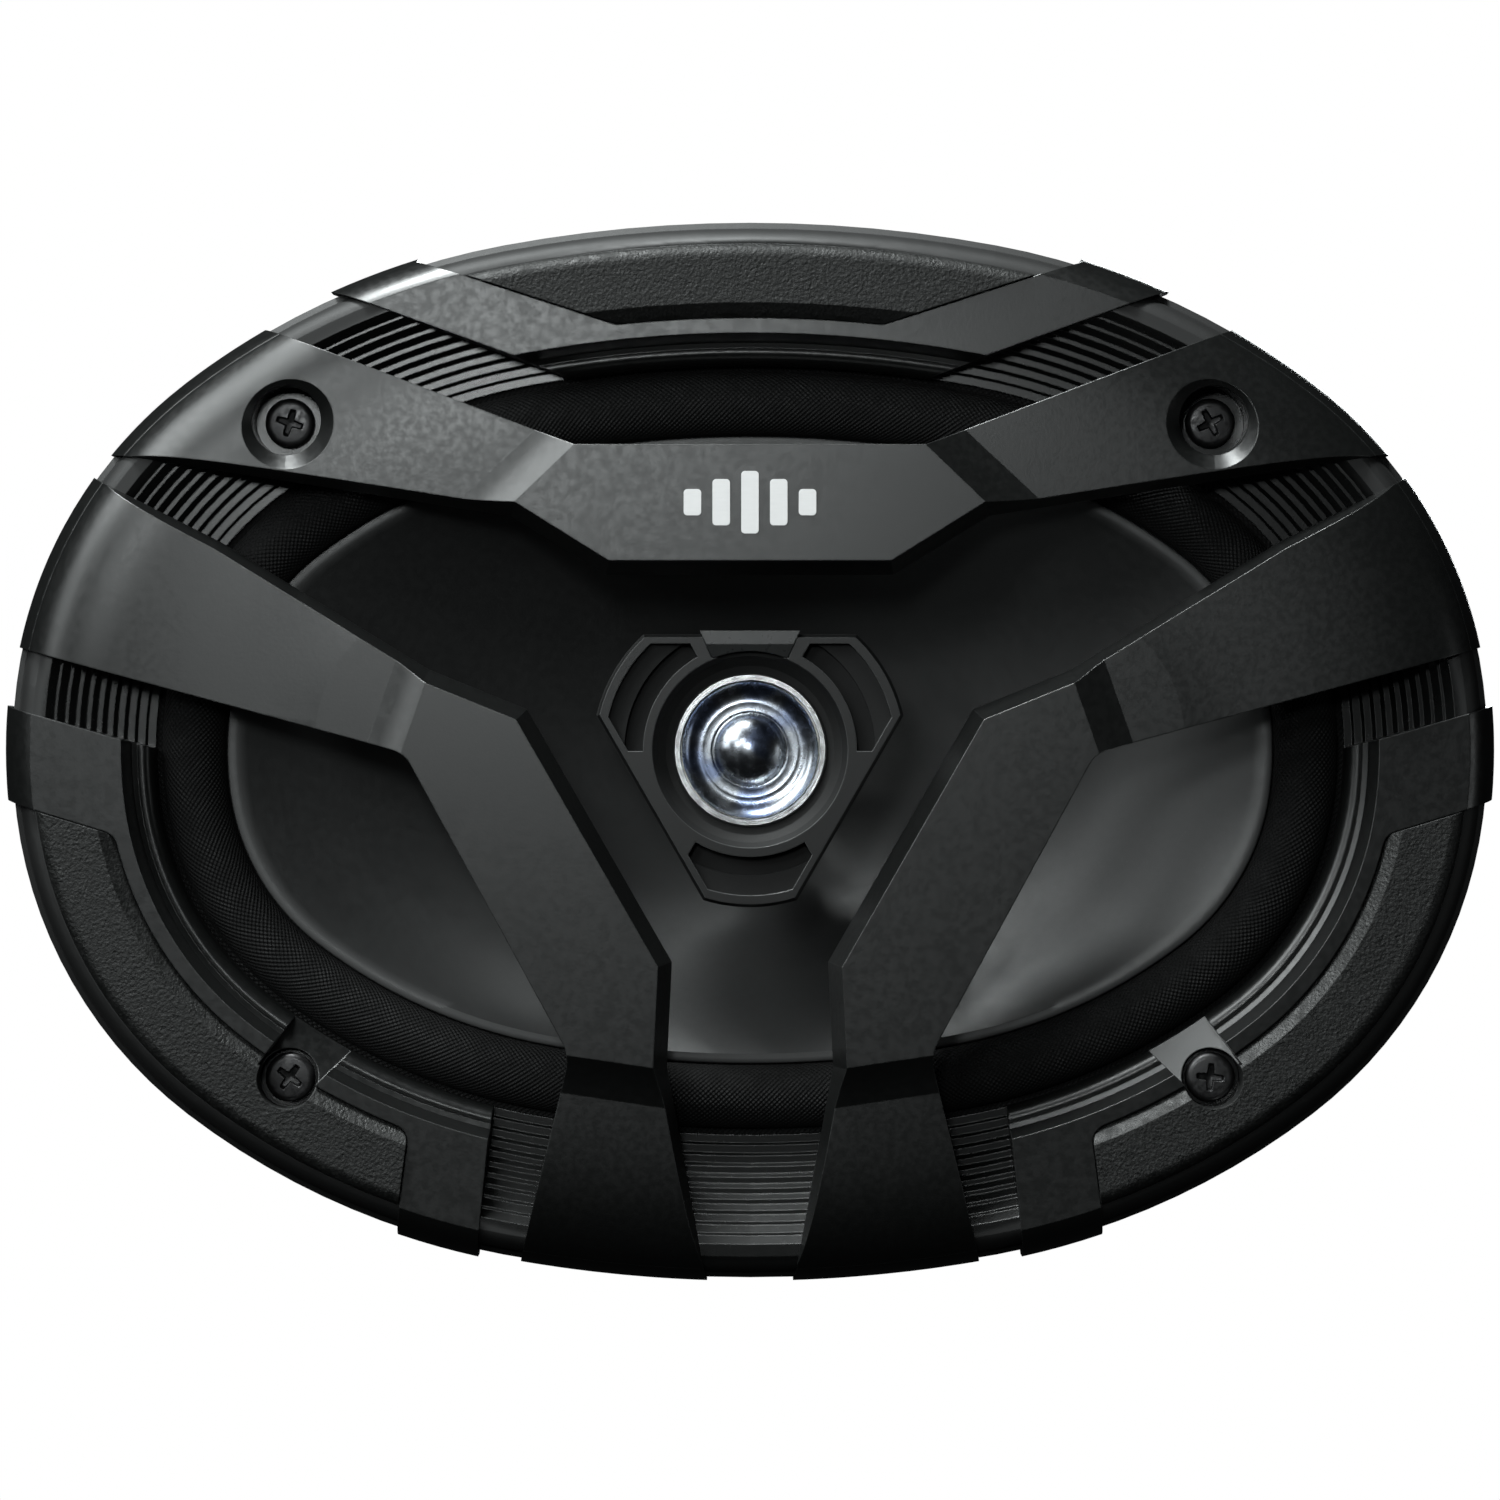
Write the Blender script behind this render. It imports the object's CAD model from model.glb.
"""The looks of a 6 x 9 inch coaxial car speaker: studio, finishes and the pieces that CAD leaves plain.

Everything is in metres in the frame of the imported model: the speaker's front looks along -Y, and +Z is up.
"Front" is a height ahead of the panel, so it is minus Y. "Inset" is a distance inwards from the outer oval.
"""

import math

import bpy
import numpy as np
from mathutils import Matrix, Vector


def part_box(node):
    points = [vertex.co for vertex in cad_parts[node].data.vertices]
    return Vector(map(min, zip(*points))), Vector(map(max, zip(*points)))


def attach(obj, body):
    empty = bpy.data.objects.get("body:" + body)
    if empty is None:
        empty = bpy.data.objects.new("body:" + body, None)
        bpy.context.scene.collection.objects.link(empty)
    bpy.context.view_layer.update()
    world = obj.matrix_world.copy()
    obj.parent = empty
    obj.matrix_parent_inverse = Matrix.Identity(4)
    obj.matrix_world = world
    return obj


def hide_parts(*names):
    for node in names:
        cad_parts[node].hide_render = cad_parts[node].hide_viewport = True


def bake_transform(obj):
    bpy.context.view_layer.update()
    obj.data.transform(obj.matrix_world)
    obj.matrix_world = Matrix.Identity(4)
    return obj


MM = 0.001
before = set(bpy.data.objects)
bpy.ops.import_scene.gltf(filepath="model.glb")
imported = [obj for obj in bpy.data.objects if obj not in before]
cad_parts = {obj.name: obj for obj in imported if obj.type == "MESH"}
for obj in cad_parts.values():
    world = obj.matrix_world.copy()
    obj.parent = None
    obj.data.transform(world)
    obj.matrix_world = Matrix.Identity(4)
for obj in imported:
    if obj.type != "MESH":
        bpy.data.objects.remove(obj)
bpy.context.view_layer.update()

CHASSIS = "chassis"
WOOFER = "woofer_cone"
TWEETER = "tweeter_dome"

# The outer oval is made of tangent arcs: the bearings where one gives way to the next in the first quarter,
# and the radii of all but the last two, which the size of the trim ring settles.
OVAL_BREAKS = (7.2, 52.6, 79.5)
OVAL_RADII = (86.5 * MM, 72.3 * MM)
ARC_STEP = 1.0

# The woofer's moving parts.
FLANGE_FRONT = 2.7 * MM
CLOTH = 0.5 * MM
SURROUND_EDGE = 19.0 * MM
ROLL_OUTER = 24.0 * MM
ROLL_INNER = 34.4 * MM
ROLL_HEIGHT = 4.6 * MM
SURROUND_END = 35.7 * MM
CONE_EDGE = 34.6 * MM
CONE_TURN = 36.2 * MM
CONE_THICKNESS = 0.9 * MM
NECK_FRONT = -26.0 * MM
NECK_R = 15.9 * MM
SPIDER_SHELF = -28.8 * MM
SPIDER_WAVES = 6
SPIDER_WAVE_HEIGHT = 1.3 * MM
SPIDER_WAVE_START = 19.0 * MM
SPIDER_WAVE_END = 47.5 * MM
SPIDER_EDGE = 53.0 * MM

# The thickness of the tweeter's film.
FILM = 0.3 * MM

# Screws.
SCREW_HEAD_R = 4.0 * MM
SCREW_HEAD_HEIGHT = 2.6 * MM
SCREW_SEAT = 7.0 * MM
SCREW_LENGTH = 24.0 * MM
HEAD_ROUNDING = 1.1 * MM
HEAD_DOME = 0.12 * MM
RECESS_DEPTH = 1.3 * MM
THREAD_R = 2.0 * MM
THREAD_ROOT_R = 1.55 * MM
THREAD_PITCH = 1.4 * MM

# The camera stands off the face by this much, and its frame is this wide at the front of the cover.
CAMERA_DISTANCE = 0.92
FRAME_WIDTH = 0.2434
FACE_FRONT = 0.008
SENSOR = 36.0

# Soft lights: place, width, height and power.
SOFTBOXES = {
    "near_axis": ((-0.08, -0.90, 0.16), 0.10, 0.10, 1.35),
    "beside_axis": ((-0.28, -0.86, 0.34), 0.12, 0.12, 0.8),
    "front_left": ((-0.44, -0.80, 0.22), 0.15, 0.15, 0.7),
    "upper_left": ((-0.62, -0.50, 0.60), 0.50, 0.45, 6.5),
    "left": ((-0.80, -0.50, 0.25), 0.25, 0.30, 1.0),
    "steep_left": ((-0.38, -0.28, 0.88), 0.25, 0.20, 5.0),
    "steep": ((-0.22, -0.22, 0.95), 0.25, 0.20, 17.0),
    "above": ((-0.15, -0.45, 0.88), 0.25, 0.25, 1.5),
    "right_edges": ((0.80, -0.30, -0.10), 0.10, 0.40, 0.3),
    "back_fill": ((0.20, 1.25, 0.30), 0.50, 0.40, 9.0),
}
LIGHT_COLOR = (0.95, 1.0, 1.0)

# What the surroundings add to the light.
FILL = 0.008
FILL_COLOR = (0.93, 0.97, 1.0, 1.0)

# The floor's radius, and how low it lies.
FLOOR_R = 1.15
FLOOR_LEVEL = -0.30


# ---------------------------------------------------------------- loops


def heading(bearing):
    return np.array([math.cos(bearing), math.sin(bearing)])


def oval_radii(half_width, half_height):
    """The radii of a quarter's arcs, the last two from the half width and half height."""
    breaks = [heading(math.radians(b)) for b in OVAL_BREAKS]
    centre = np.array([half_width - OVAL_RADII[0], 0.0])
    for before, after, way in zip(OVAL_RADII, OVAL_RADII[1:], breaks):
        centre = centre + (before - after) * way
    first, second = breaks[-2:]
    matrix = [[second[0] - first[0], -second[0]], [second[1] - first[1], 1 - second[1]]]
    rest = [-centre[0] - OVAL_RADII[-1] * first[0], half_height - centre[1] - OVAL_RADII[-1] * first[1]]
    return [*OVAL_RADII, *np.linalg.solve(matrix, rest)]


def oval_stations():
    """Centre, radius and bearing of each station round the outer oval, from the right, anticlockwise."""
    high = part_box("trim_ring")[1]
    half_width, half_height = high[0], high[2]
    bearings = [math.radians(b) for b in (0, *OVAL_BREAKS, 90)]
    centre, last = np.array([half_width, 0.0]), 0.0
    quarter = []
    for radius, start, stop in zip(oval_radii(half_width, half_height), bearings, bearings[1:]):
        centre = centre + (last - radius) * heading(start)
        last = radius
        count = max(3, round(math.degrees(stop - start) / ARC_STEP))
        for k in range(count):
            quarter.append((centre[0], centre[1], radius, start + (stop - start) * k / count))
    top = (centre[0], centre[1], last, math.pi / 2)
    second = [(-x, z, r, math.pi - b) for x, z, r, b in reversed(quarter[1:])]
    half = [*quarter, top, *second]
    return np.array(half + [(-x, -z, r, b + math.pi) for x, z, r, b in half])


STATIONS = oval_stations()


def morph(inset, radius, share, front):
    """A loop between the oval at an inset, at share 0, and a circle, at share 1."""
    x, z, r, bearing = STATIONS.T
    reach = (r - inset) * (1 - share) + radius * share
    across = x * (1 - share) + reach * np.cos(bearing)
    up = z * (1 - share) + reach * np.sin(bearing)
    return np.stack([across, np.full(len(x), -front), up], axis=1)


def oval(inset, front):
    return morph(inset, 0, 0, front)


def circle(radius, front, count):
    turns = np.arange(count) * 2 * math.pi / count
    return np.stack([radius * np.cos(turns), np.full(count, -front), radius * np.sin(turns)], axis=1)


# ---------------------------------------------------------------- meshes


def skin(name, loops, closed_section=False, caps=False):
    """A mesh through equal loops, with a UV map in metres: U runs along a loop, V from loop to loop."""
    loops = np.array(loops)
    rows, count = loops.shape[:2]
    faces = []
    for i in range(rows if closed_section else rows - 1):
        a, b = i * count, (i + 1) % rows * count
        faces += [(a + j, a + (j + 1) % count, b + (j + 1) % count, b + j) for j in range(count)]
    if caps:
        faces += [tuple(range(count))[::-1], tuple(range((rows - 1) * count, rows * count))]
    mesh = bpy.data.meshes.new(name)
    mesh.from_pydata(loops.reshape(-1, 3).tolist(), [], faces)
    around = np.linalg.norm(np.diff(loops[rows // 2], axis=0, append=loops[rows // 2][:1]), axis=1)
    along = np.linalg.norm(np.diff(loops[:, 0], axis=0, append=loops[:1, 0]), axis=1)
    u, v = np.concatenate([[0], np.cumsum(around)]), np.concatenate([[0], np.cumsum(along)])
    layer = mesh.uv_layers.new(name="UVMap")
    spots = []
    for face in mesh.polygons:
        rings = [index // count for index in face.vertices]
        steps = [index % count for index in face.vertices]
        wraps_round = max(steps) - min(steps) > 1
        wraps_up = max(rings) - min(rings) > 1
        for ring, step in zip(rings, steps):
            spots.append(u[count] if wraps_round and step == 0 else u[step])
            spots.append(v[rows] if wraps_up and ring == 0 else v[ring])
    layer.data.foreach_set("uv", spots)
    return made_object(name, mesh)


def made_object(name, mesh):
    mesh.validate()
    for face in mesh.polygons:
        face.use_smooth = True
    mesh.update()
    piece = bpy.data.objects.new(name, mesh)
    bpy.context.scene.collection.objects.link(piece)
    outward(piece)
    return piece


def outward(piece):
    """Turns a closed mesh the right way out."""
    mesh = piece.data
    mesh.calc_loop_triangles()
    points = np.array([v.co for v in mesh.vertices])
    corners = points[np.array([t.vertices for t in mesh.loop_triangles])]
    volume = np.einsum("ij,ij->i", corners[:, 0], np.cross(corners[:, 1], corners[:, 2])).sum()
    if volume < 0:
        mesh.flip_normals()


def sharpen(piece, degrees):
    """Edges that turn by more than this shade as corners."""
    piece.data.set_sharp_from_angle(angle=math.radians(degrees))


def lathe(name, profile, count):
    """A turned piece from the (radius, front) points round its section."""
    return skin(name, [circle(r, front, count) for r, front in profile], closed_section=True)


def smoothstep(t):
    t = np.clip(t, 0, 1)
    return t * t * (3 - 2 * t)


def flex(piece, share_of):
    """Bends a piece between the chassis and the woofer by a share worked out from each vertex."""
    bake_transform(piece)
    points = np.array([v.co for v in piece.data.vertices])
    weights = smoothstep(share_of(points)).astype(np.float32)


# ---------------------------------------------------------------- finishes


class Finish:
    """A Principled material being built: a colour, a roughness and a stack of bumps over rounded edges."""

    def __init__(self, name, color, roughness, metallic=0.0, edge=0.25 * MM, uv=False):
        self.material = bpy.data.materials.new(name)
        self.material.use_nodes = True
        self.nodes = self.material.node_tree.nodes
        self.shader = self.nodes["Principled BSDF"]
        self.shader.inputs["Metallic"].default_value = metallic
        self.shader.inputs["Roughness"].default_value = roughness
        self.color = color
        self.roughness = None
        coordinates = self.add("ShaderNodeTexCoord")
        self.place = coordinates.outputs["UV" if uv else "Object"]
        self.normal = None
        self.edges = None
        if edge:
            self.round_edges(edge)

    def add(self, kind, **settings):
        node = self.nodes.new(kind)
        for key, value in settings.items():
            setattr(node, key, value)
        return node

    def link(self, source, target):
        self.material.node_tree.links.new(source, target)

    def math(self, operation, a, b=None):
        node = self.add("ShaderNodeMath", operation=operation)
        for socket, value in zip(node.inputs, (a, b)):
            if isinstance(value, (int, float)):
                socket.default_value = value
            elif value is not None:
                self.link(value, socket)
        return node.outputs[0]

    def spread(self, value, low, high, to_low=0.0, to_high=1.0):
        """A value carried smoothly from one range to another."""
        node = self.add("ShaderNodeMapRange", interpolation_type="SMOOTHSTEP")
        self.link(value, node.inputs["Value"])
        for key, number in zip(("From Min", "From Max", "To Min", "To Max"), (low, high, to_low, to_high)):
            node.inputs[key].default_value = number
        return node.outputs["Result"]

    def round_edges(self, radius):
        """Shades edges as if they were rounded, and keeps a mask of where they are."""
        bevel = self.add("ShaderNodeBevel", samples=6)
        bevel.inputs["Radius"].default_value = radius
        self.normal = bevel.outputs["Normal"]
        geometry = self.add("ShaderNodeNewGeometry")
        dot = self.add("ShaderNodeVectorMath", operation="DOT_PRODUCT")
        self.link(bevel.outputs["Normal"], dot.inputs[0])
        self.link(geometry.outputs["Normal"], dot.inputs[1])
        self.edges = self.spread(dot.outputs["Value"], 0.995, 0.9)

    def noise(self, size, detail=2.0, stretch=(1, 1, 1), roughness=0.5):
        """Noise from 0 to 1 with features of about this size."""
        mapping = self.add("ShaderNodeMapping")
        mapping.inputs["Scale"].default_value = stretch
        self.link(self.place, mapping.inputs["Vector"])
        node = self.add("ShaderNodeTexNoise")
        node.inputs["Scale"].default_value = 1 / size
        node.inputs["Detail"].default_value = detail
        node.inputs["Roughness"].default_value = roughness
        self.link(mapping.outputs["Vector"], node.inputs["Vector"])
        return node.outputs["Fac"]

    def cells(self, size):
        """The distance to the nearest of scattered points, about this far apart."""
        node = self.add("ShaderNodeTexVoronoi")
        node.inputs["Scale"].default_value = 1 / size
        self.link(self.place, node.inputs["Vector"])
        return node.outputs["Distance"]

    def blend_color(self, mask, color, amount):
        """Mixes another colour in where the mask is."""
        node = self.add("ShaderNodeMix", data_type="RGBA")
        self.link(self.math("MULTIPLY", mask, amount), node.inputs["Factor"])
        if isinstance(self.color, tuple):
            node.inputs["A"].default_value = (*self.color, 1.0)
        else:
            self.link(self.color, node.inputs["A"])
        node.inputs["B"].default_value = (*color, 1.0)
        self.color = node.outputs["Result"]

    def vary_roughness(self, mask, low, high):
        self.roughness = self.spread(mask, 0.3, 0.7, low, high)

    def bump(self, height, depth):
        """Raises the surface by up to this depth where the height is 1."""
        node = self.add("ShaderNodeBump")
        node.inputs["Distance"].default_value = depth
        self.link(height, node.inputs["Height"])
        if self.normal is not None:
            self.link(self.normal, node.inputs["Normal"])
        self.normal = node.outputs["Normal"]

    def set(self, **values):
        """Uniform numbers, put straight on the shader's own sockets."""
        for key, value in values.items():
            socket = key.replace("_", " ").title().replace("Ior", "IOR")
            self.shader.inputs[socket].default_value = value
        return self

    def done(self):
        self.link(self.color, self.shader.inputs["Base Color"])
        if self.roughness is not None:
            self.link(self.roughness, self.shader.inputs["Roughness"])
        if self.normal is not None:
            self.link(self.normal, self.shader.inputs["Normal"])
        return self.material


def split(finish):
    """The X, Y and Z of each spot of the surface."""
    node = finish.add("ShaderNodeSeparateXYZ")
    finish.link(finish.place, node.inputs[0])
    return node.outputs


def wavy(finish, value, pitch):
    """A sine of a length, once per pitch."""
    return finish.math("SINE", finish.math("MULTIPLY", value, 2 * math.pi / pitch))


def radius_from_axis(finish):
    """The distance from the speaker's axis."""
    parts = split(finish)
    across, up = parts["X"], parts["Z"]
    squares = finish.math("ADD", finish.math("MULTIPLY", across, across), finish.math("MULTIPLY", up, up))
    return finish.math("SQRT", squares)


def moulded_plastic(name, roughness, grain, grain_size, color=(0.003, 0.0032, 0.0031)):
    """Injection-moulded black plastic: fine spark texture, faint flow marks, edges rubbed a little pale."""
    finish = Finish(name, color, roughness)
    flow = finish.noise(24 * MM, 3, stretch=(1, 1, 2.2))
    finish.blend_color(flow, (0.005, 0.0053, 0.0052), 0.6)
    finish.blend_color(finish.edges, (0.035, 0.036, 0.036), 0.35)
    finish.vary_roughness(finish.noise(1.1 * MM, 3), roughness - 0.03, roughness + 0.03)
    finish.bump(finish.noise(grain_size, 2), grain)
    return finish.done()


def ring_plastic():
    """The trim ring's plastic: satin on the land, matt and dull down its outer shoulder."""
    finish = Finish("ring_plastic", (0.003, 0.0032, 0.0031), 0.25)
    parts = split(finish)
    _, (half_width, _, half_height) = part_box("trim_ring")
    across = finish.math("POWER", finish.math("DIVIDE", parts["X"], half_width), 2.0)
    up = finish.math("POWER", finish.math("DIVIDE", parts["Z"], half_height), 2.0)
    shoulder = finish.spread(finish.math("ADD", across, up), 0.90, 0.95)
    finish.blend_color(finish.noise(24 * MM, 3, stretch=(1, 1, 2.2)), (0.005, 0.0053, 0.0052), 0.6)
    finish.blend_color(shoulder, (0.0015, 0.0016, 0.0016), 0.9)
    uneven = finish.math("MULTIPLY", finish.noise(1.1 * MM, 3), 0.05)
    finish.roughness = finish.math("ADD", uneven, finish.spread(shoulder, 0.0, 1.0, 0.24, 0.62))
    finish.bump(finish.noise(0.45 * MM, 2), 0.005 * MM)
    return finish.done()


def pocketed_plastic():
    """The tweeter's bezel: satin rims with light edges, and matt floors in its pockets."""
    finish = Finish("pocketed_plastic", (0.0025, 0.0026, 0.0026), 0.36, edge=0.2 * MM)
    finish.set(specular_ior_level=0.32)
    parts = split(finish)
    rims = finish.spread(parts["Y"], -15.9 * MM, -16.3 * MM)
    finish.blend_color(finish.noise(9 * MM, 3), (0.004, 0.0042, 0.0042), 0.6)
    finish.blend_color(finish.math("MULTIPLY", rims, finish.edges), (0.12, 0.124, 0.124), 0.6)
    uneven = finish.math("MULTIPLY", finish.noise(1 * MM, 3), 0.06)
    finish.roughness = finish.math("ADD", uneven, finish.spread(rims, 0.0, 1.0, 0.68, 0.33))
    finish.bump(finish.noise(0.4 * MM, 2), 0.008 * MM)
    return finish.done()


def sand_plastic():
    """The pads' coarse sand grain: pits of several sizes with paler crests."""
    finish = Finish("sand_grained_plastic", (0.003, 0.0032, 0.0031), 0.5).set(specular_ior_level=0.3)
    crests = finish.noise(0.55 * MM, 3, roughness=0.62)
    pits = finish.cells(0.6 * MM)
    finish.blend_color(finish.spread(crests, 0.5, 0.72), (0.018, 0.019, 0.0185), 0.8)
    finish.blend_color(finish.noise(18 * MM, 2), (0.01, 0.0105, 0.01), 0.5)
    finish.vary_roughness(finish.noise(2.2 * MM, 3), 0.42, 0.66)
    finish.bump(crests, 0.19 * MM)
    finish.bump(pits, 0.05 * MM)
    return finish.done()


def cone_plastic():
    """Mica-filled polypropylene: smooth, with fine specks and faint rings from moulding."""
    finish = Finish("mica_cone", (0.012, 0.0124, 0.0124), 0.5, edge=None).set(specular_ior_level=0.9)
    specks = finish.noise(0.5 * MM, 2, roughness=0.7)
    finish.blend_color(finish.spread(specks, 0.64, 0.8), (0.06, 0.062, 0.062), 0.35)
    finish.blend_color(finish.noise(30 * MM, 2), (0.016, 0.0165, 0.0165), 0.6)
    finish.vary_roughness(finish.noise(1.4 * MM, 3), 0.48, 0.54)
    rings = wavy(finish, radius_from_axis(finish), 1.6 * MM)
    finish.bump(rings, 0.0012 * MM)
    finish.bump(finish.noise(0.35 * MM, 2), 0.008 * MM)
    return finish.done()


def woven_cloth(name, color, pale, pitch, depth, roughness=0.78):
    """A treated plain weave over UV metres, with uneven threads and a dull coating."""
    finish = Finish(name, color, roughness, edge=None, uv=True).set(specular_ior_level=0.25)
    parts = split(finish)
    drift = finish.math("MULTIPLY", finish.noise(6 * MM, 2), 0.35 * MM)
    warp = wavy(finish, finish.math("ADD", parts["X"], drift), 2 * pitch)
    weft = wavy(finish, finish.math("ADD", parts["Y"], drift), 2 * pitch)
    weave = finish.math("MULTIPLY", warp, weft)
    finish.blend_color(finish.spread(weave, 0.0, 0.9), pale, 0.55)
    finish.blend_color(finish.noise(9 * MM, 3), color, 0.3)
    finish.vary_roughness(finish.noise(3 * MM, 3), roughness - 0.1, roughness + 0.08)
    finish.bump(weave, depth)
    finish.bump(finish.noise(0.3 * MM, 3), 0.03 * MM)
    return finish.done()


def turned_metal(name, color, roughness, ring_pitch=0.35 * MM, depth=0.004 * MM, edge=0.2 * MM):
    """Plated steel off a lathe: fine rings about the axis, smudges and brighter edges."""
    finish = Finish(name, color, roughness, metallic=1.0, edge=edge)
    rings = wavy(finish, radius_from_axis(finish), ring_pitch)
    smudges = finish.noise(14 * MM, 4)
    finish.blend_color(finish.spread(smudges, 0.45, 0.75), tuple(c * 0.85 for c in color), 0.4)
    if finish.edges is not None:
        finish.blend_color(finish.edges, tuple(min(1.0, c * 1.3) for c in color), 0.5)
    finish.vary_roughness(finish.noise(1.2 * MM, 3), roughness - 0.01, roughness + 0.03)
    finish.bump(rings, depth)
    return finish.done()


def bright_metal(name, color, roughness, bloom=None):
    """A mirror-like coating with the slightest haze and ripple, and a tinted bloom if a colour is given."""
    finish = Finish(name, color, roughness, metallic=1.0, edge=None)
    finish.blend_color(finish.noise(4 * MM, 3), tuple(c * 0.9 for c in color), 0.4)
    if bloom:
        finish.blend_color(finish.spread(finish.noise(7 * MM, 1), 0.45, 0.62), bloom, 0.7)
    finish.vary_roughness(finish.noise(1.5 * MM, 3), roughness * 0.85, roughness * 1.2)
    finish.bump(finish.noise(1.2 * MM, 2), 0.001 * MM)
    return finish.done()


def powder_coat():
    """Black powder coat on pressed steel: orange peel, dust in the hollows and worn corners."""
    finish = Finish("black_powder_coat", (0.008, 0.008, 0.0083), 0.4, edge=0.4 * MM)
    finish.blend_color(finish.noise(16 * MM, 4), (0.014, 0.014, 0.0147), 0.6)
    finish.blend_color(finish.edges, (0.12, 0.12, 0.125), 0.3)
    finish.vary_roughness(finish.noise(1.5 * MM, 3), 0.39, 0.46)
    finish.bump(finish.noise(0.9 * MM, 2), 0.05 * MM)
    finish.bump(finish.noise(0.2 * MM, 2), 0.01 * MM)
    return finish.done()


def foam():
    """Closed-cell foam: a matt skin full of small cells."""
    finish = Finish("gasket_foam", (0.02, 0.02, 0.021), 0.9, edge=0.3 * MM)
    cells = finish.cells(0.7 * MM)
    finish.blend_color(finish.spread(cells, 0.1, 0.5), (0.045, 0.045, 0.047), 0.7)
    finish.vary_roughness(finish.noise(5 * MM, 3), 0.82, 0.96)
    finish.bump(cells, 0.18 * MM)
    return finish.done()


def ferrite():
    """Pressed and ground ferrite: dark, chalky, with grinding marks and chipped edges."""
    finish = Finish("ferrite", (0.035, 0.035, 0.038), 0.55, edge=0.5 * MM)
    finish.blend_color(finish.noise(3 * MM, 5), (0.06, 0.06, 0.064), 0.7)
    finish.blend_color(finish.edges, (0.14, 0.14, 0.145), 0.5)
    finish.vary_roughness(finish.noise(1.5 * MM, 4), 0.45, 0.72)
    finish.bump(finish.noise(0.5 * MM, 4), 0.05 * MM)
    finish.bump(finish.cells(2.2 * MM), 0.03 * MM)
    return finish.done()


def felt():
    """Pressed felt: tangled fibres and no shine."""
    finish = Finish("black_felt", (0.014, 0.014, 0.015), 0.95, edge=None)
    fibres = finish.noise(0.35 * MM, 4, stretch=(1, 1, 3), roughness=0.7)
    finish.blend_color(finish.spread(fibres, 0.5, 0.75), (0.06, 0.06, 0.062), 0.6)
    finish.vary_roughness(finish.noise(2 * MM, 2), 0.88, 1.0)
    finish.bump(fibres, 0.12 * MM)
    return finish.done()


def black_zinc():
    """Black-passivated screws: dark metal with rubbed crests."""
    finish = Finish("black_zinc", (0.035, 0.035, 0.037), 0.38, metallic=0.85, edge=0.12 * MM)
    finish.blend_color(finish.edges, (0.3, 0.3, 0.31), 0.3)
    finish.blend_color(finish.noise(1.2 * MM, 4), (0.06, 0.058, 0.055), 0.5)
    finish.vary_roughness(finish.noise(0.8 * MM, 3), 0.28, 0.5)
    finish.bump(finish.noise(0.3 * MM, 2), 0.01 * MM)
    return finish.done()


def wound_copper():
    """Enamelled wire, wound turn beside turn along the axis."""
    finish = Finish("wound_copper", (0.55, 0.22, 0.09), 0.32, metallic=1.0, edge=None)
    parts = split(finish)
    turns = wavy(finish, parts["Y"], 0.4 * MM)
    finish.blend_color(finish.spread(turns, 0.0, -0.9), (0.2, 0.06, 0.02), 0.7)
    finish.vary_roughness(finish.noise(1 * MM, 3), 0.24, 0.42)
    finish.bump(turns, 0.08 * MM)
    return finish.done()


def braided_tinsel():
    """Copper tinsel in an open braid: strands cross both ways round the lead."""
    finish = Finish("braided_tinsel", (0.42, 0.25, 0.13), 0.45, metallic=0.9, edge=None, uv=True)
    parts = split(finish)
    one = wavy(finish, finish.math("ADD", parts["X"], parts["Y"]), 0.5 * MM)
    other = wavy(finish, finish.math("SUBTRACT", parts["X"], parts["Y"]), 0.5 * MM)
    braid = finish.math("MAXIMUM", one, other)
    finish.blend_color(finish.spread(braid, 0.2, -0.6), (0.12, 0.05, 0.02), 0.8)
    finish.vary_roughness(finish.noise(1 * MM, 3), 0.36, 0.6)
    finish.bump(braid, 0.08 * MM)
    return finish.done()


def tinned_brass():
    """Stamped blades: drawn lines along the axis and a soft tin bloom."""
    finish = Finish("tinned_brass", (0.62, 0.6, 0.54), 0.3, metallic=1.0, edge=0.1 * MM)
    lines = finish.noise(0.4 * MM, 3, stretch=(1, 0.05, 1))
    finish.blend_color(finish.noise(3 * MM, 4), (0.5, 0.46, 0.36), 0.5)
    finish.vary_roughness(lines, 0.24, 0.42)
    finish.bump(lines, 0.01 * MM)
    return finish.done()


def shrink_sleeve():
    """The capacitor's printed sleeve."""
    finish = Finish("capacitor_sleeve", (0.02, 0.03, 0.12), 0.3, edge=0.2 * MM)
    finish.blend_color(finish.noise(3 * MM, 3), (0.03, 0.045, 0.16), 0.5)
    finish.vary_roughness(finish.noise(2 * MM, 3), 0.24, 0.38)
    finish.bump(finish.noise(1.5 * MM, 2), 0.02 * MM)
    return finish.done()


def foil_print():
    """Pale printed foil with a fine brushed grain."""
    finish = Finish("pale_foil", (0.6, 0.6, 0.6), 0.5, edge=0.06 * MM)
    grain = finish.noise(0.35 * MM, 3, stretch=(0.15, 1, 1))
    finish.blend_color(grain, (0.5, 0.5, 0.5), 0.5)
    finish.vary_roughness(grain, 0.42, 0.58)
    finish.bump(grain, 0.006 * MM)
    return finish.done()


# ---------------------------------------------------------------- pieces


def paint(piece, *materials):
    piece.data.materials.clear()
    for material in materials:
        piece.data.materials.append(material)


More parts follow.
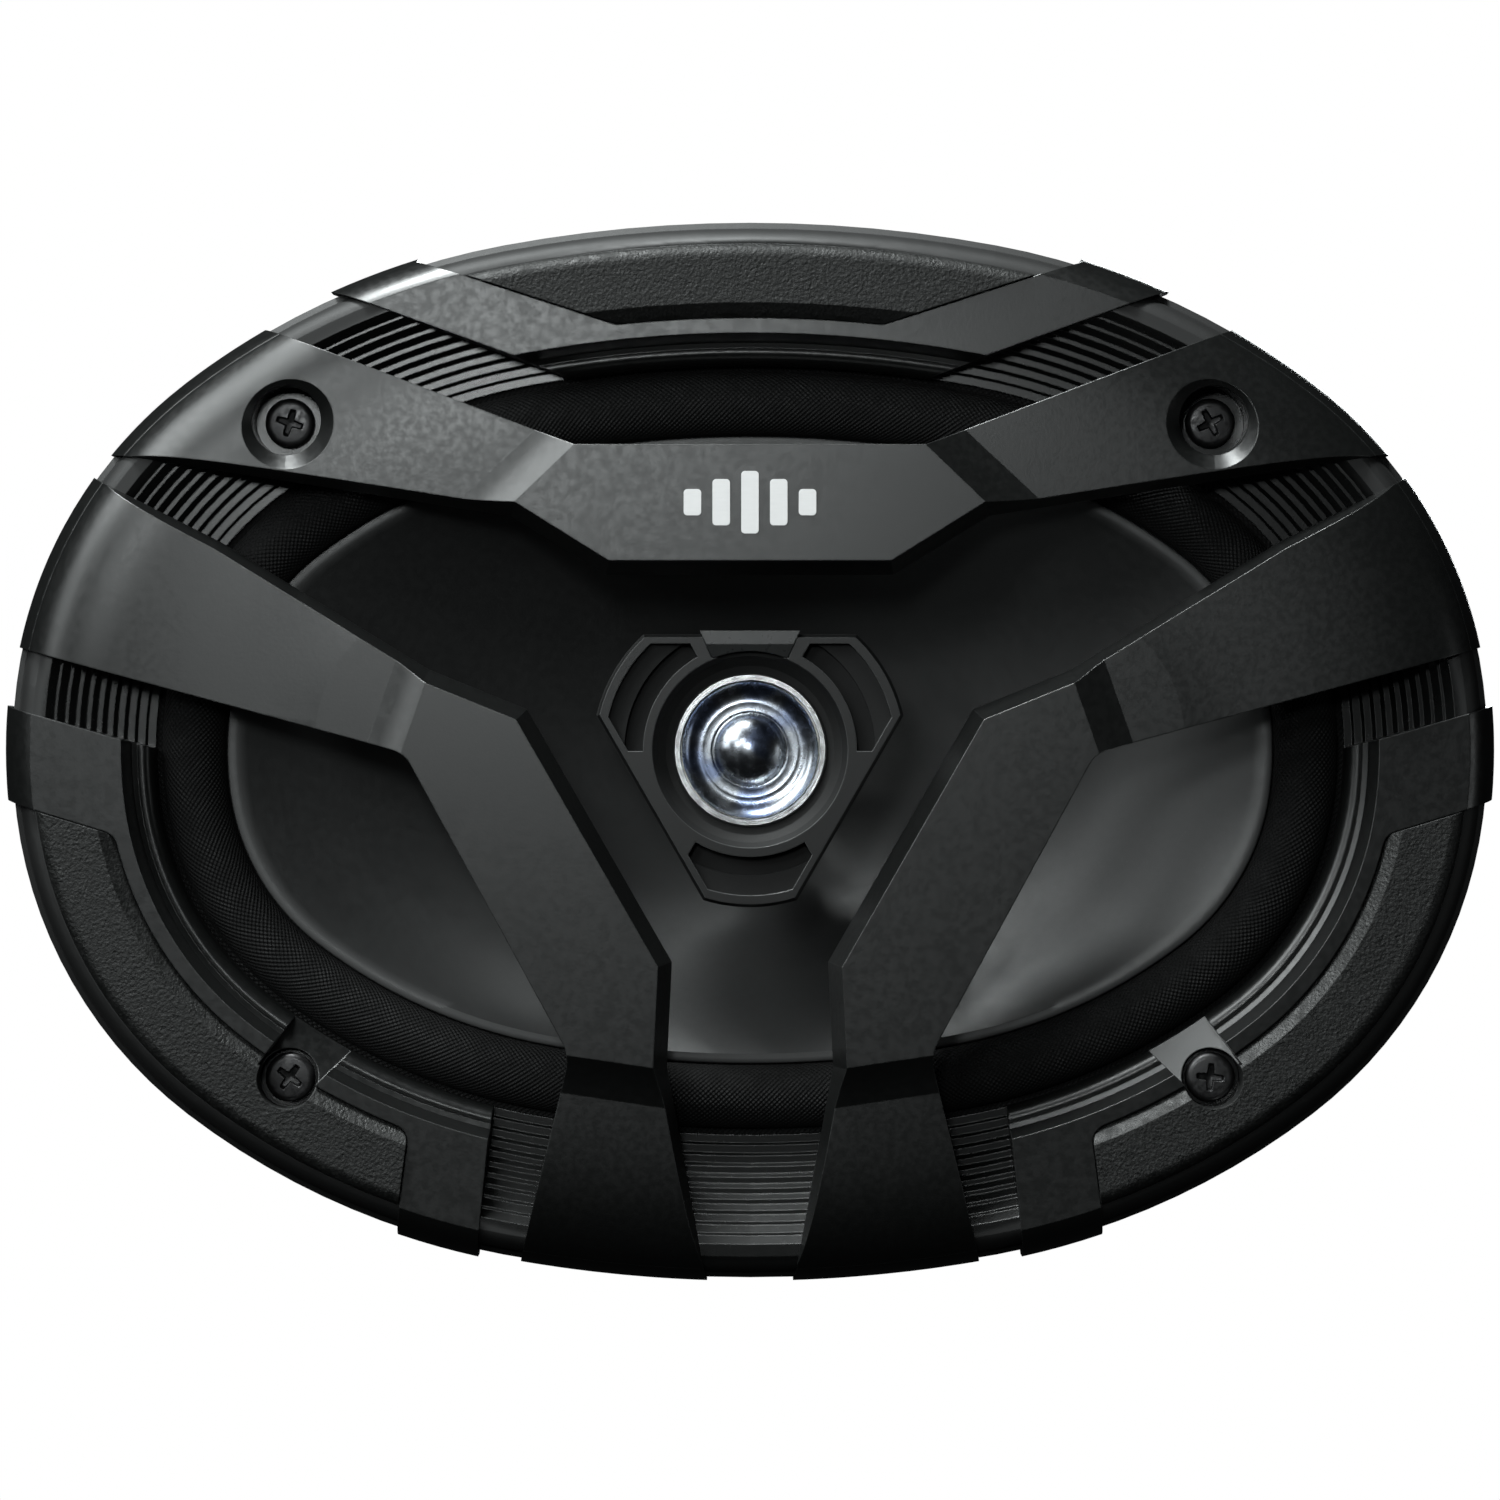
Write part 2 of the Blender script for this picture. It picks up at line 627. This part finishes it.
def woven_surround():
    """The cloth half roll, with its glued edges."""
    middle, half = (ROLL_OUTER + ROLL_INNER) / 2, (ROLL_INNER - ROLL_OUTER) / 2
    top, low = FLANGE_FRONT + CLOTH, FLANGE_FRONT
    steps = 22

    def roll(half_width, foot):
        turns = np.linspace(0, math.pi, steps + 1)
        return [(middle - half_width * math.cos(t), foot + ROLL_HEIGHT * math.sin(t)) for t in turns]

    def flat(start, stop, front, count):
        return [(start + (stop - start) * k / count, front) for k in range(count)]

    section = [*flat(SURROUND_EDGE, ROLL_OUTER, top, 6), *roll(half, top)]
    section += [*flat(ROLL_INNER, SURROUND_END, top, 2)[1:], (SURROUND_END, top), (SURROUND_END, low)]
    section += [*roll(half - CLOTH, low)[::-1], (SURROUND_EDGE, low)]
    piece = skin("woven_surround", [oval(*point) for point in section], closed_section=True)
    sharpen(piece, 50)
    edges = [oval(ROLL_INNER, 0), oval(ROLL_OUTER, 0)]
    reach_in, reach_out = (np.linalg.norm(loop[:, [0, 2]], axis=1) for loop in edges)
    rows = len(section)

    def share(points):
        reach = np.linalg.norm(points[:, [0, 2]], axis=1).reshape(rows, -1)
        return ((reach_out - reach) / (reach_out - reach_in)).reshape(-1)

    flex(piece, share)
    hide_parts("surround")
    dark, pale = (0.0016, 0.0016, 0.0017), (0.006, 0.0062, 0.0062)
    paint(piece, woven_cloth("treated_cloth", dark, pale, 0.42 * MM, 0.12 * MM))


def moulded_cone():
    """The woofer's cone, with a rounded bead at its rim."""
    rim_front = FLANGE_FRONT + CLOTH + CONE_THICKNESS
    depth = rim_front - NECK_FRONT

    def side(drop, count):
        loops = []
        for k in range(count + 1):
            share = k / count
            front = rim_front - drop - depth * (1.10 * share - 0.10 * share**2)
            loops.append(morph(CONE_TURN - drop * 0.5, NECK_R, share, front))
        return loops

    bead = [(CONE_EDGE, rim_front - CONE_THICKNESS), (CONE_EDGE, rim_front - 0.3 * MM)]
    bead += [(CONE_EDGE + 0.12 * MM, rim_front - 0.08 * MM), (CONE_EDGE + 0.35 * MM, rim_front)]
    bead += [(CONE_EDGE + 0.9 * MM, rim_front - 0.02 * MM)]
    loops = [oval(*point) for point in bead] + side(0.0, 40) + side(CONE_THICKNESS, 40)[::-1]
    piece = skin("moulded_cone", loops, closed_section=True)
    sharpen(piece, 40)
    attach(piece, WOOFER)
    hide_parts("cone")
    paint(piece, cone_plastic())


def corrugated_spider():
    """The resin-dipped cloth disc behind the cone."""
    thickness = 0.4 * MM
    count = SPIDER_WAVES * 16
    span = SPIDER_WAVE_END - SPIDER_WAVE_START

    def waves(foot):
        points = []
        for k in range(count + 1):
            rise = 1 - math.cos(2 * math.pi * SPIDER_WAVES * k / count)
            points.append((SPIDER_WAVE_START + span * k / count, foot + SPIDER_WAVE_HEIGHT / 2 * rise))
        return points

    collar, collar_top, top = NECK_R + 0.05 * MM, SPIDER_SHELF + 1.4 * MM, SPIDER_SHELF + thickness
    section = [(collar, collar_top), (collar + 0.5 * MM, collar_top), (collar + 0.6 * MM, top)]
    section += [*waves(top), (SPIDER_EDGE, top), (SPIDER_EDGE, SPIDER_SHELF)]
    section += [*waves(SPIDER_SHELF)[::-1], (collar, SPIDER_SHELF)]
    piece = lathe("corrugated_spider", section, 240)
    sharpen(piece, 50)

    def share(points):
        radii = np.linalg.norm(points[:, [0, 2]], axis=1)
        return (SPIDER_WAVE_END - radii) / span

    flex(piece, share)
    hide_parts("spider")
    brown, straw = (0.30, 0.19, 0.05), (0.5, 0.35, 0.13)
    paint(piece, woven_cloth("dipped_cotton", brown, straw, 0.35 * MM, 0.1 * MM, 0.62))


def cross_recess(radius_map, turn_map):
    """How deep a cross recess is at each spot of a screw's head, from 0 to 1."""
    across, up = radius_map * np.cos(turn_map), radius_map * np.sin(turn_map)
    half_width, reach, wall = 0.42 * MM, 2.3 * MM, 0.16 * MM
    depth = np.zeros_like(across)
    for long_way, short_way in ((across, up), (up, across)):
        width = half_width + 0.25 * (1 - np.abs(long_way) / reach).clip(0, 1) * MM
        sides = smoothstep((width - np.abs(short_way)) / wall)
        ends = smoothstep((reach - np.abs(long_way)) / (3 * wall))
        depth = np.maximum(depth, sides * ends)
    return depth


def pan_head_screw(name, x, z, turn, material):
    """A self-tapping screw with a domed head, a cross recess and a rolled thread."""
    count, top = 96, SCREW_SEAT + SCREW_HEAD_HEIGHT
    turns = np.arange(count) * 2 * math.pi / count
    loops = []

    def loop(radii, fronts):
        radii, fronts = np.broadcast_to(radii, count), np.broadcast_to(fronts, count)
        loops.append(np.stack([x + radii * np.cos(turns), -fronts, z + radii * np.sin(turns)], axis=1))

    crown = SCREW_HEAD_R - HEAD_ROUNDING
    for radius in np.linspace(0.02 * MM, crown, 34):
        recess = cross_recess(np.full(count, radius), turns + turn)
        dome = HEAD_DOME * (radius / crown) ** 2
        loop(radius, top - dome - recess * (RECESS_DEPTH - 0.25 * radius))
    for k in range(1, 9):
        bend = k / 8 * math.pi / 2
        loop(crown + HEAD_ROUNDING * math.sin(bend), top - HEAD_DOME - 1.0 * MM * (1 - math.cos(bend)))
    loop(SCREW_HEAD_R, SCREW_SEAT)
    loop(THREAD_R, SCREW_SEAT)
    point_length, plain_length, steps_per_turn = 3.5 * MM, 0.5 * MM, 8
    thread_length = SCREW_LENGTH - plain_length
    steps = round(thread_length / THREAD_PITCH * steps_per_turn)
    for k in range(steps + 1):
        front = SCREW_SEAT - plain_length - thread_length * k / steps
        phase = (turns / (2 * math.pi) + k / steps_per_turn) % 1.0
        crest = np.clip(1 - 3.2 * np.abs(phase - 0.5), 0, 1) ** 1.2
        runout = min(1.0, (thread_length * (1 - k / steps)) / point_length)
        root = (THREAD_ROOT_R - 0.1 * MM) * runout + 0.1 * MM
        height = (THREAD_R - THREAD_ROOT_R) * min(1.0, k / 6)
        loop(np.minimum(root + height * crest * max(runout, 0.25), THREAD_R), front)
    piece = skin(name, loops, caps=True)
    sharpen(piece, 42)
    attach(piece, CHASSIS)
    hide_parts("mounting_screws")
    paint(piece, material)


def arc_through(a, b, c, count):
    """Points on the circle through three (radius, front) points, ends included."""
    (ax, ay), (bx, by), (cx, cy) = a, b, c
    d = 2 * (ax * (by - cy) + bx * (cy - ay) + cx * (ay - by))
    aa, bb, cc = ax**2 + ay**2, bx**2 + by**2, cx**2 + cy**2
    ux = (aa * (by - cy) + bb * (cy - ay) + cc * (ay - by)) / d
    uy = (aa * (cx - bx) + bb * (ax - cx) + cc * (bx - ax)) / d
    radius = math.hypot(ax - ux, ay - uy)
    start = math.atan2(ay - uy, ax - ux)
    sweep = (math.atan2(cy - uy, cx - ux) - start + math.pi) % (2 * math.pi) - math.pi
    bearings = [start + sweep * k / count for k in range(count + 1)]
    return [(ux + radius * math.cos(b), uy + radius * math.sin(b)) for b in bearings]


def coated_diaphragm():
    """The tweeter's film: a bright dome, a bead over the coil, a dark roll and a dished bright ring."""
    dome_edge, bead_edge = (5.6 * MM, 12.0 * MM), (6.4 * MM, 12.0 * MM)
    roll_edge, rim = (7.75 * MM, 12.02 * MM), (11.0 * MM, 13.5 * MM)
    dome = arc_through((0.02 * MM, 14.3 * MM), (2.9 * MM, 13.75 * MM), dome_edge, 26)
    bead = arc_through(dome_edge, (6.0 * MM, 12.55 * MM), bead_edge, 10)
    roll = arc_through(bead_edge, (7.05 * MM, 11.98 * MM), roll_edge, 8)
    dish = arc_through(roll_edge, (9.8 * MM, 12.4 * MM), rim, 24)
    top = dome + bead[1:] + roll[1:] + dish[1:]
    under = [(r, front - FILM) for r, front in reversed(top)]
    piece = lathe("coated_diaphragm", top + under, 128)
    sharpen(piece, 35)
    for face in piece.data.polygons:
        spot = sum((piece.data.vertices[v].co for v in face.vertices), Vector()) / len(face.vertices)
        radius = math.hypot(spot.x, spot.z)
        face.material_index = 1 if bead_edge[0] < radius < roll_edge[0] + 0.15 * MM else 0
    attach(piece, TWEETER)
    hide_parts("tweeter_diaphragm")
    dark = moulded_plastic("dark_roll", 0.4, 0.01 * MM, 0.3 * MM)
    paint(piece, bright_metal("vapour_coat", (0.36, 0.385, 0.42), 0.24, bloom=(0.16, 0.22, 0.4)), dark)


def smooth_path(stops, per_span):
    """Points on a Catmull-Rom curve through stops."""
    stops = [np.array(s) for s in stops]
    padded = [2 * stops[0] - stops[1], *stops, 2 * stops[-1] - stops[-2]]
    points = []
    for a, b, c, d in zip(padded, padded[1:], padded[2:], padded[3:]):
        for k in range(per_span):
            t = k / per_span
            bend = (2 * a - 5 * b + 4 * c - d) * t**2 + (3 * b - a - 3 * c + d) * t**3
            points.append(0.5 * (2 * b + (c - a) * t + bend))
    return np.array([*points, stops[-1]])


def braided_lead(side, material):
    """A tinsel lead from its rivet, through a window of the basket, to the back of the cone."""
    stops = [(-8.0, 10.0, -62.35), (-9.5, 13.0, -61.9), (-15.6, 17.0, -60.3), (-18.6, 17.3, -51.0)]
    stops += [(-18.6, 13.0, -42.0), (-17.5, 9.0, -38.5)]
    sign = -1 if side == "right" else 1
    path = smooth_path([(sign * x * MM, y * MM, z * MM) for x, y, z in stops], 14)
    ways = np.gradient(path, axis=0)
    ways /= np.linalg.norm(ways, axis=1)[:, None]
    normal = np.cross(ways[0], [1.0, 0.0, 0.0])
    count, radius, loops = 14, 0.5 * MM, []
    for point, way in zip(path, ways):
        normal = normal - way * np.dot(normal, way)
        normal /= np.linalg.norm(normal)
        other = np.cross(way, normal)
        turns = np.arange(count) * 2 * math.pi / count
        loops.append(point + radius * (np.outer(np.cos(turns), normal) + np.outer(np.sin(turns), other)))
    piece = skin(f"braided_lead_{side}", loops, caps=True)
    sharpen(piece, 60)

    def share(points):
        return ((points[:, 2] + 60 * MM) / (20 * MM)).clip(0, 1)

    flex(piece, share)
    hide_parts(f"{side}_tinsel_lead")
    paint(piece, material)


# ---------------------------------------------------------------- finishes of the CAD nodes


def dress_nodes():
    """Every CAD node that stays gets its finish."""
    cover = moulded_plastic("satin_cover_plastic", 0.31, 0.006 * MM, 0.5 * MM)
    steel = turned_metal("zinc_plated_steel", (0.55, 0.54, 0.50), 0.34)
    finishes = {
        "trim_ring": ring_plastic(),
        "mounting_gasket": foam(),
        "basket": powder_coat(),
        "dust_ring": felt(),
        "voice_coil_former": turned_metal("former_foil", (0.75, 0.75, 0.76), 0.3, edge=None),
        "ferrite_magnet": ferrite(),
        "tweeter_post": powder_coat(),
        "tweeter_housing": pocketed_plastic(),
        "tweeter_pod": moulded_plastic("pod_plastic", 0.46, 0.012 * MM, 0.4 * MM),
        "tweeter_badge": moulded_plastic("badge_plastic", 0.3, 0.004 * MM, 0.3 * MM, (0.02, 0.021, 0.021)),
        "tweeter_magnet": bright_metal("nickel", (0.7, 0.69, 0.66), 0.18),
        "tweeter_ring": bright_metal("chrome_ring", (0.8, 0.81, 0.82), 0.22),
        "tweeter_capacitor": shrink_sleeve(),
        "terminal_board": moulded_plastic("board_plastic", 0.5, 0.015 * MM, 0.5 * MM),
        "arm_emblem": foil_print(),
    }
    copper, brass, sand = wound_copper(), tinned_brass(), sand_plastic()
    shared = {
        cover: ["top_arm", "left_arm", "right_arm", "top_bracket", "left_bracket", "right_bracket"],
        sand: ["top_pad", "left_pad", "right_pad"],
        steel: ["top_plate", "t_yoke", "motor_rivets", "post_bolt", "tweeter_yoke", "tweeter_pole_plate"],
        copper: ["voice_coil", "tweeter_coil"],
        brass: ["positive_terminal", "negative_terminal"],
    }
    for material, names in shared.items():
        for name in names:
            finishes[name] = material
    for name, material in finishes.items():
        paint(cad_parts[name], material)


# ---------------------------------------------------------------- studio


def aim(thing):
    """Turns a light or a camera towards the middle of the speaker's face."""
    thing.rotation_euler = (-thing.location).to_track_quat("-Z", "Y").to_euler()


def softbox(name, place, width, height, power):
    """A rectangular soft light that faces the speaker."""
    light = bpy.data.lights.new(name, "AREA")
    light.shape = "RECTANGLE"
    light.size, light.size_y = width, height
    light.energy = power
    light.color = LIGHT_COLOR
    thing = bpy.data.objects.new(name, light)
    thing.location = place
    thing.visible_camera = False
    aim(thing)
    bpy.context.scene.collection.objects.link(thing)


def studio():
    """White surroundings, soft lights mostly from the upper left, and a pale floor well below."""
    world = bpy.data.worlds.new("studio")
    bpy.context.scene.world = world
    world.use_nodes = True
    nodes, links = world.node_tree.nodes, world.node_tree.links
    seen = nodes["Background"]
    seen.inputs["Color"].default_value = (1, 1, 1, 1)
    seen.inputs["Strength"].default_value = 1.0
    fill = nodes.new("ShaderNodeBackground")
    fill.inputs["Color"].default_value = FILL_COLOR
    fill.inputs["Strength"].default_value = FILL
    path, mix = nodes.new("ShaderNodeLightPath"), nodes.new("ShaderNodeMixShader")
    links.new(path.outputs["Is Camera Ray"], mix.inputs["Fac"])
    links.new(fill.outputs[0], mix.inputs[1])
    links.new(seen.outputs[0], mix.inputs[2])
    links.new(mix.outputs[0], nodes["World Output"].inputs["Surface"])

    for name, (place, width, height, power) in SOFTBOXES.items():
        softbox(name, place, width, height, power)

    place = (0, 0, FLOOR_LEVEL)
    bpy.ops.mesh.primitive_circle_add(vertices=96, radius=FLOOR_R, fill_type="NGON", location=place)
    floor = bpy.context.object
    floor.name = "pale_floor"
    floor.data.materials.append(floor_paint())
    floor.visible_diffuse = False
    floor.visible_glossy = False


def floor_paint():
    finish = Finish("pale_floor_paint", (0.82, 0.82, 0.82), 0.6, edge=None)
    finish.blend_color(finish.noise(0.2, 3), (0.78, 0.78, 0.78), 0.4)
    finish.vary_roughness(finish.noise(0.05, 3), 0.55, 0.7)
    return finish.done()


def camera():
    data = bpy.data.cameras.new("camera")
    data.sensor_width = SENSOR
    data.lens = SENSOR * (CAMERA_DISTANCE - FACE_FRONT) / FRAME_WIDTH
    thing = bpy.data.objects.new("camera", data)
    thing.location = (0, -CAMERA_DISTANCE, 0)
    aim(thing)
    bpy.context.scene.collection.objects.link(thing)
    bpy.context.scene.camera = thing


def main():
    bpy.context.scene.view_settings.view_transform = "Standard"
    dress_nodes()
    woven_surround()
    moulded_cone()
    corrugated_spider()
    coated_diaphragm()
    _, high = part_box("mounting_screws")
    screw_x, screw_z = high[0] - SCREW_HEAD_R, high[2] - SCREW_HEAD_R
    zinc = black_zinc()
    turns = (0.3, 1.1, 0.62, 0.1)
    places = [(x, z) for z in (screw_z, -screw_z) for x in (-screw_x, screw_x)]
    for k, ((x, z), turn) in enumerate(zip(places, turns)):
        pan_head_screw(f"pan_head_screw_{k + 1}", x, z, turn, zinc)
    tinsel = braided_tinsel()
    for side in ("left", "right"):
        braided_lead(side, tinsel)
    studio()
    camera()


main()
